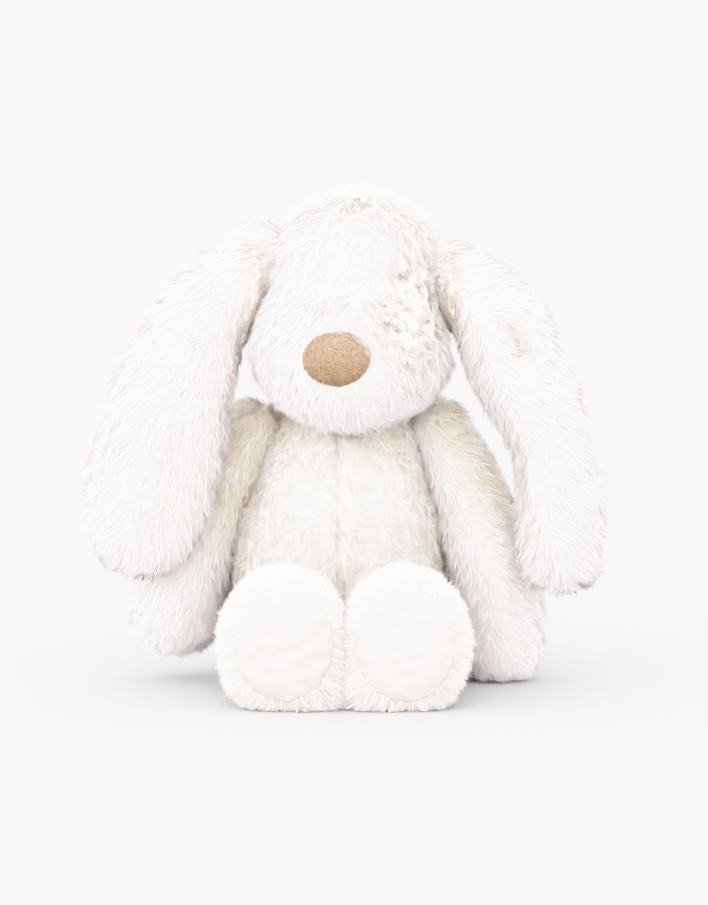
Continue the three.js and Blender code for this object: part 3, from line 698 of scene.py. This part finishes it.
V, F = puff(*grid_skin(head_at, 72, 60), start=2.0)
V = V - normals(V, F) * (np.maximum(fold(V, "right"), fold(V, "left")) * 3.5)[:, None]
skin_piece("head_cover", "head", V, F, M_SKIN, [n for n in BODIES["head"] if not n.startswith("nose")])
NOSE_AT = head_turn(np.array([NOSE["at"]], float) + [1.2, 0, -0.9])[0]
down = head_dir([0, 0, -1])[0]


def nose_dist(P):
    q = head_turn(P, back=True) - np.array(NOSE["at"], float) - [1.2, 0, -0.9]
    return np.sqrt((q[:, 0] / NOSE["r"][0]) ** 2 + (q[:, 2] / NOSE["r"][2]) ** 2) + np.where(q[:, 1] > 30, 9, 0)


def head_comb(P, M):
    q = head_turn(P, back=True)
    x = q[:, 0]
    top = np.clip((q[:, 2] - 192) / 14, 0, 1) * np.clip((q[:, 1] + 30) / 12, 0, 1)
    v = np.stack([0.012 * x + 0.3 * top, -0.2 + 1.2 * top, -1 + 0.8 * top], 1)
    below = np.clip((168 - q[:, 2]) / 25, 0, 1) * (q[:, 1] < -45)
    v[:, 0] += below * 0.02 * x
    # fur runs away from the nose under and beside it
    away = np.stack([x, np.zeros(len(P)), q[:, 2] - 168.5], 1)
    nd = nose_dist(P)
    near = np.exp(-np.clip(nd - 1, 0, 9) * 1.6) * (q[:, 2] < 172)
    v = v + unit(away) * near[:, None] * 1.4
    return head_turn(v + NECK) - NECK


def head_keep(P, M):
    k = nose_dist(P) > 0.86
    for t in T_ear.values():
        k &= ~t.inside(P, -3)
    d = np.linalg.norm(P - (NECK + np.array([0, 3, -6])), axis=1)
    return k & (d > 20)


def rough_cheek(P):
    """The ruffled place beside the left ear, on the front of the head; the fur there also gets painted shade."""
    return np.exp(-(((P[:, 0] - 33.5) / 12) ** 2 + ((P[:, 2] - 192) / 23) ** 2)) * (P[:, 1] < -20)


def head_size(P, M):
    nd = nose_dist(P)
    f = np.maximum(fold(P, "right"), fold(P, "left") * 0.8)
    above = head_turn(P, back=True)[:, 2] > 170
    return (np.where(above, 0.5, 0.6) + np.where(above, 0.5, 0.4) * np.clip((nd - 0.95) / 0.6, 0, 1)) * (1 - 0.45 * f)


# Painted shade on the head: darker pile in the ruffled cheek's gaps, patchy at random, and in the creases where the
# ears fold against the head.
fur("fur_head", "head", V, F, M_HEAD, head_comb, seed=31, keep=head_keep, size=head_size, length=9.5, lean=59, jitter=0.24, lumps=0.7,
    ruffle=lambda P: 2.4 * rough_cheek(P), own=0.35,
    patch=lambda P: np.clip(np.maximum(3.0 * rough_cheek(P) * (0.55 + 0.8 * Waves(9, 4)(P)), 0.8 * np.maximum(fold(P, "right"), fold(P, "left"))), 0, 1))

# ---- nose
V, F = ball(NOSE_AT, np.array(NOSE["r"]) - [1.2, 0.8, 0.5], 64, 44)
w1 = Waves(5, 9)
N = normals(V, F)
V = V + N * (w1(V) * 0.25)[:, None]
ob = skin_piece("nose_soft", "head", V, F, M_NOSE, ["nose_cover", "nose_padding"])
# Painted shade: the nose pile is darker towards its lower side; its random grain is the nap's own colour.
def nose_shade_and_grain(P):
    return np.clip(0.22 - (P[:, 2] - NOSE_AT[2]) / 30 + 0.5 * Waves(15, 2.2)(P), 0, 1)


fur("nose_nap", "head", V, F, M_NOSE_PILE, lambda P, M: np.tile([0, 0, -1.0], (len(P), 1)), seed=41, per_mm2=2.1, locks=3, hairs=0, length=2.5,
    width=0.78, spread=0.4, lean=34, jitter=1.8, curl=1.2, own=2.1, gather=1.1, patch=nose_shade_and_grain, keep=lambda P, M: M[:, 1] < 0.1)

def nose_fringe(P, M):
    q = head_turn(P, back=True) - np.array(NOSE["at"], float)
    nd = np.sqrt((q[:, 0] / NOSE["r"][0]) ** 2 + (q[:, 2] / NOSE["r"][2]) ** 2)
    edge = 0.9 + 0.07 * Waves(3, 6)(P)
    return (nd > edge) & (q[:, 2] > 3.5) & (q[:, 0] > -9) & (M[:, 1] < 0.25)


fur("fur_nose_edge", "head", V, F, M_HEAD, lambda P, M: np.stack([(P[:, 0] - NOSE_AT[0]) * 0.02, -0.3 + 0 * P[:, 0], -1 + 0 * P[:, 0]], 1),
    seed=43, per_mm2=0.5, length=4.6, lean=50, width=0.45, fine=0.3, keep=nose_fringe)

# ---- ears
for sd in ("left", "right"):
    def ear_shape(p, sd=sd):
        N = unit(p - np.array([p[:, 0], p[:, 1] * 0 - 38, p[:, 2]]).T)
        dent = fold(p, sd) * 4.0
        if sd == "left":
            dent = dent + near_line(p, DIMPLE, 5) * 7.0 - near_line(p, RIDGE, 6) * 3.2
        return p - N * dent[:, None]

    T, V, F = tube_skin(EARS[sd], UP_Y, INSET, 56, 90, ear_shape)

    def ear_size(P, M, sd=sd):
        f = fold(P, sd)
        if sd == "left":
            f = np.maximum(f, near_line(P, DIMPLE, 5))
        return 1 - 0.5 * f

    skin_piece(f"ear_{sd}_cover", f"ear_{sd}", V, F, M_SKIN, BODIES[f"ear_{sd}"])
    if sd == "left":
        comb = path_comb(T, [(0, -2), (0.3, -5), (0.45, -14), (0.7, -15), (0.95, -4)], 0.75)
    else:
        comb = path_comb(T, [(0, 6), (0.5, 10), (1, 6)], 0.35, soft=14)
    # Painted shade in the crease where each ear folds against the head and in the left ear's dimple.
    fur(f"fur_ear_{sd}", f"ear_{sd}", V, F, M_EAR, comb, seed=51 + len(sd), length=11, lean=56, size=ear_size,
        patch=lambda P, sd=sd: np.clip(np.maximum(1.3 * fold(P, sd), 3.0 * near_line(P, DIMPLE, 3.5) * (sd == "left")), 0, 1))

# ---- arms
def arm_painted_shade(P, sd):
    """Painted shade: the pile is warmer under the head, all round the right arm's top and outside on the left arm's,
    mostly on the front.
    """
    w = (0.75 + 0.25 * Waves(6, 9)(P)) * np.clip((2 - P[:, 1]) / 14, 0.1, 1)
    if sd == "right":
        return np.clip((P[:, 2] - 66) / 34, 0, 0.9) * w
    x = np.interp(P[:, 2], [32, 56, 82, 107, 127, 141], [78, 75, 66.5, 57, 46, 40])
    return np.clip((P[:, 2] - 66) / 45, 0, 0.95) * np.clip(0.5 + (P[:, 0] - x) / 16, 0.12, 1) * w


for sd in ("left", "right"):
    T, V, F = tube_skin(ARMS[sd], UP_Y, INSET, 48, 70)
    skin_piece(f"arm_{sd}_cover", f"arm_{sd}", V, F, M_SKIN, BODIES[f"arm_{sd}"])
    fur(f"fur_arm_{sd}", f"arm_{sd}", V, F, M_LIMB, path_comb(T, [(0, -4), (1, -4)], 0.7 if sd == "left" else 0.3, pull=(0.45 if sd == "left" else -0.45, 0, -0.25)), seed=61 + len(sd), length=10, lean=52,
        patch=lambda P, sd=sd: arm_painted_shade(P, sd))

# ---- legs
for sd in ("left", "right"):
    k = 1 if sd == "left" else -1
    spec = leg_spec(sd)
    spec["cap"] = [26, 11]
    spec["wide"] = [26, 26, 26.5, 29, 30]
    spec["deep"] = [26.5, 26.5, 27.5, 33, 36.5]

    def leg_shape(p, k=k):
        t = np.clip((LEG["path"][4][2] - p[:, 2]) / 36.5, 0, 0.94)
        f = (1 - t ** 3.4) ** (1 / 3.4) / np.sqrt(1 - t ** 2)
        dx = p[:, 0] - 29 * k
        front = np.clip((-p[:, 1] - 60) / 25, 0, 1)
        amount = np.where(dx * k < 0, 1.0, 0.35) * front
        return np.stack([29 * k + dx * (1 + (f - 1) * amount), p[:, 1], p[:, 2]], 1)
    T, V, F = tube_skin(spec, UP_Z, INSET, 64, 80, leg_shape)
    skin_piece(f"leg_{sd}_cover", f"leg_{sd}", V, F, M_SKIN, [n for n in BODIES[f"leg_{sd}"] if "pad" not in n])

    def pad_d(P, k=k):
        return np.sqrt(((P[:, 0] - 29 * k) / PAD["r"][0]) ** 2 + ((P[:, 2] - PAD["z"]) / PAD["r"][1]) ** 2)

    def leg_keep(P, M, pad_d=pad_d):
        return ~((P[:, 1] < -98) & (pad_d(P) < 0.9)) & (P[:, 2] > 1.6) & (P[:, 1] < -18)

    def leg_comb(P, M, k=k, pad_d=pad_d):
        front = np.clip((-P[:, 1] - 84) / 16, 0, 1)
        rad = np.stack([P[:, 0] - 29 * k, np.zeros(len(P)), P[:, 2] - PAD["z"]], 1)
        return np.tile([0, 1.0, -0.3], (len(P), 1)) * (1 - front)[:, None] + (unit(rad) * 1.0 + np.array([0, 0.25, 0])) * front[:, None]

    def leg_size(P, M, k=k):
        f = np.clip((-P[:, 1] - 92) / 12, 0, 1)
        inner = np.exp(-((P[:, 2] - 9) / 9) ** 2) * (P[:, 0] * k < 24)
        return 1 - 0.12 * f + 0.95 * inner

    def leg_weight(V=V):
        return 1 + 1.3 * np.clip((-V[:, 1] - 88) / 10, 0, 1)

    # Painted shade on the legs: a warm dark line round each sole's edge, and pile darker towards the floor, patchy at
    # random.
    fur(f"fur_leg_{sd}", f"leg_{sd}", V, F, M_LEG, leg_comb, seed=71 + len(sd), keep=leg_keep, length=9, lean=52, size=leg_size, weight=leg_weight(), per_mm2=0.22, jitter=0.35, own=0.2, hairs=14, locks=1, gather=0.3,
        patch=lambda P, pad_d=pad_d: np.clip(0.75 * np.exp(-((pad_d(P) - 0.96) / 0.05) ** 2) * (P[:, 1] < -95) + np.clip((16 - P[:, 2]) / 16, 0, 0.6) * (0.5 + 0.6 * Waves(24, 6)(P)), 0, 0.8))

    # sole
    nu, nr = 72, 22
    rho = np.sin(np.linspace(0, np.pi / 2, nr + 1))[1:]
    ang = np.arange(nu) / nu * 2 * np.pi
    RR, AA = np.meshgrid(rho, ang, indexing="ij")
    RR, AA = RR.ravel(), AA.ravel()
    dome = 5.2 * np.sqrt(np.clip(1 - RR ** 2.6, 0, 1))
    wr = Waves(81 + k, 7)
    x = 29 * k + PAD["r"][0] * RR * np.cos(AA)
    z = PAD["z"] + PAD["r"][1] * RR * np.sin(AA)
    y = PAD["y"] - dome
    front_v = np.stack([x, y, z], 1)
    pk = 0.35 * np.sin(AA * 19 + 2 * np.sin(AA * 3 + k)) * np.clip((RR - 0.78) / 0.2, 0, 1)
    front_v[:, 1] += pk - 0.4 * wr(front_v)
    back_v = np.stack([29 * k + (PAD["r"][0] - 1.5) * RR * np.cos(AA), PAD["y"] + 1.6 + 0 * x, PAD["z"] + (PAD["r"][1] - 1.5) * RR * np.sin(AA)], 1)
    c0 = np.array([[29 * k, PAD["y"] - 5.2, PAD["z"]], [29 * k, PAD["y"] + 1.6, PAD["z"]]])
    PV = np.vstack([front_v, back_v, c0])
    a = np.arange(nu); b = (a + 1) % nu
    tri = []
    nf = len(front_v)
    for r in range(nr - 1):
        o, q = r * nu, (r + 1) * nu
        tri += [np.stack([o + a, q + a, q + b], 1), np.stack([o + a, q + b, o + b], 1)]
        tri += [np.stack([nf + o + a, nf + q + b, nf + q + a], 1), np.stack([nf + o + a, nf + o + b, nf + q + b], 1)]
    tri += [np.stack([np.full(nu, 2 * nf), a, b], 1), np.stack([np.full(nu, 2 * nf + 1), nf + b, nf + a], 1)]
    o = (nr - 1) * nu
    tri += [np.stack([o + a, nf + o + a, nf + o + b], 1), np.stack([o + a, nf + o + b, o + b], 1)]
    PF = np.vstack(tri)
    vol = np.einsum("ij,ij->i", PV[PF[:, 0]], np.cross(PV[PF[:, 1]], PV[PF[:, 2]])).sum()
    if vol < 0:
        PF = PF[:, ::-1]
    PF = np.ascontiguousarray(PF)
    raw = make_mesh("swell", PV, PF, None)
    g = raw.vertex_groups.new(name="pin")
    RRall = np.concatenate([RR, np.full(len(RR), 2.0), [0.0, 2.0]])
    g.add([int(i) for i in np.where(RRall > 0.985)[0]], 1.0, "REPLACE")
    me = run_cloth(raw, 3.0, 20, pin="pin", shrink=-0.009, bending=0.4)
    cap_move(raw.data, me, 2.2)
    PV = mesh_vf(me)[0]
    bpy.data.objects.remove(raw)
    pad = make_mesh(f"foot_{sd}_sole", PV, PF, M_PAD)
    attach(pad, f"leg_{sd}")
    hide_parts(f"foot_{sd}_pad")

# ------------------------------------------------------------------ floor, lights, camera
m, nt, b = new_mat("pale_floor")
b.inputs["Base Color"].default_value = (0.422, 0.436, 0.449, 1)
b.inputs["Roughness"].default_value = 1.0
b.inputs["Specular IOR Level"].default_value = 0.0
R = 60000.0
make_mesh("floor", np.array([[-R, -R, 0], [R, -R, 0], [R, R, 0], [-R, R, 0]]), np.array([[0, 1, 2, 3]]), m)


def sun(name, frm, strength, angle, color=(1, 1, 1)):
    from mathutils import Vector
    d = bpy.data.lights.new(name, "SUN")
    d.energy = strength
    d.angle = math.radians(angle)
    d.color = color
    o = bpy.data.objects.new(name, d)
    o.rotation_euler = (-Vector(frm)).to_track_quat("-Z", "Y").to_euler()
    o.location = frm
    bpy.context.scene.collection.objects.link(o)


sun("key", (-0.75, -1.0, 1.15), 1.3, 80, (1, 0.945, 0.985))
sun("fill", (1.0, -1.2, 0.6), 0.75, 70, (0.98, 0.99, 1))
sun("front", (-0.25, -1.0, 0.06), 2.0, 80, (1, 0.945, 0.97))
sun("side", (-1.0, -0.15, 0.25), 1.1, 80, (1, 0.945, 0.975))
sun("top", (-0.1, 0.15, 1.0), 0.3, 80, (1, 0.985, 0.99))
world = bpy.data.worlds.new("studio")
world.use_nodes = True
wt = world.node_tree
glow = wt.nodes["Background"]
glow.inputs["Color"].default_value = (1, 0.96, 0.915, 1)
glow.inputs["Strength"].default_value = 1.9
seen = wt.nodes.new("ShaderNodeBackground")
seen.inputs["Color"].default_value = (1.02, 1.02, 1.02, 1)
path = wt.nodes.new("ShaderNodeLightPath")
mixw = wt.nodes.new("ShaderNodeMixShader")
wt.links.new(path.outputs["Is Camera Ray"], mixw.inputs["Fac"])
wt.links.new(glow.outputs[0], mixw.inputs[1])
wt.links.new(seen.outputs[0], mixw.inputs[2])
wt.links.new(mixw.outputs[0], wt.nodes["World Output"].inputs["Surface"])
bpy.context.scene.world = world
view = bpy.context.scene.view_settings
view.view_transform = "Standard"
view.use_curve_mapping = True
cm = view.curve_mapping
cm.clip_max_x = 1.0
cm.white_level = (2.5, 2.5, 2.5)
curve = cm.curves[3]
for x, y in [(0.1, 0.13), (0.25, 0.36), (0.4, 0.56), (0.55, 0.71), (0.7, 0.815), (0.85, 0.885), (1.0, 0.927), (1.2, 0.952), (1.5, 0.972)]:
    curve.points.new(x / 2.5, y)
cm.update()

cam_d = bpy.data.cameras.new("camera")
cam = bpy.data.objects.new("camera", cam_d)
bpy.context.scene.collection.objects.link(cam)
bpy.context.scene.camera = cam
ELEV, DIST = math.radians(5), 1.5
cam_d.sensor_width = 36
cam_d.lens = 116.8
cam.location = (0.0046, -DIST * math.cos(ELEV), 0.1155 + DIST * math.sin(ELEV))
cam.rotation_euler = (math.pi / 2 - ELEV, 0, 0)
cam_d.clip_end = 100

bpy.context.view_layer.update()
tris = {o.name: len(o.data.polygons) for o in bpy.data.objects if o.type == "MESH" and o.name.startswith(("fur", "nose_nap"))}
print("fur triangles", sum(tris.values()), tris, flush=True)
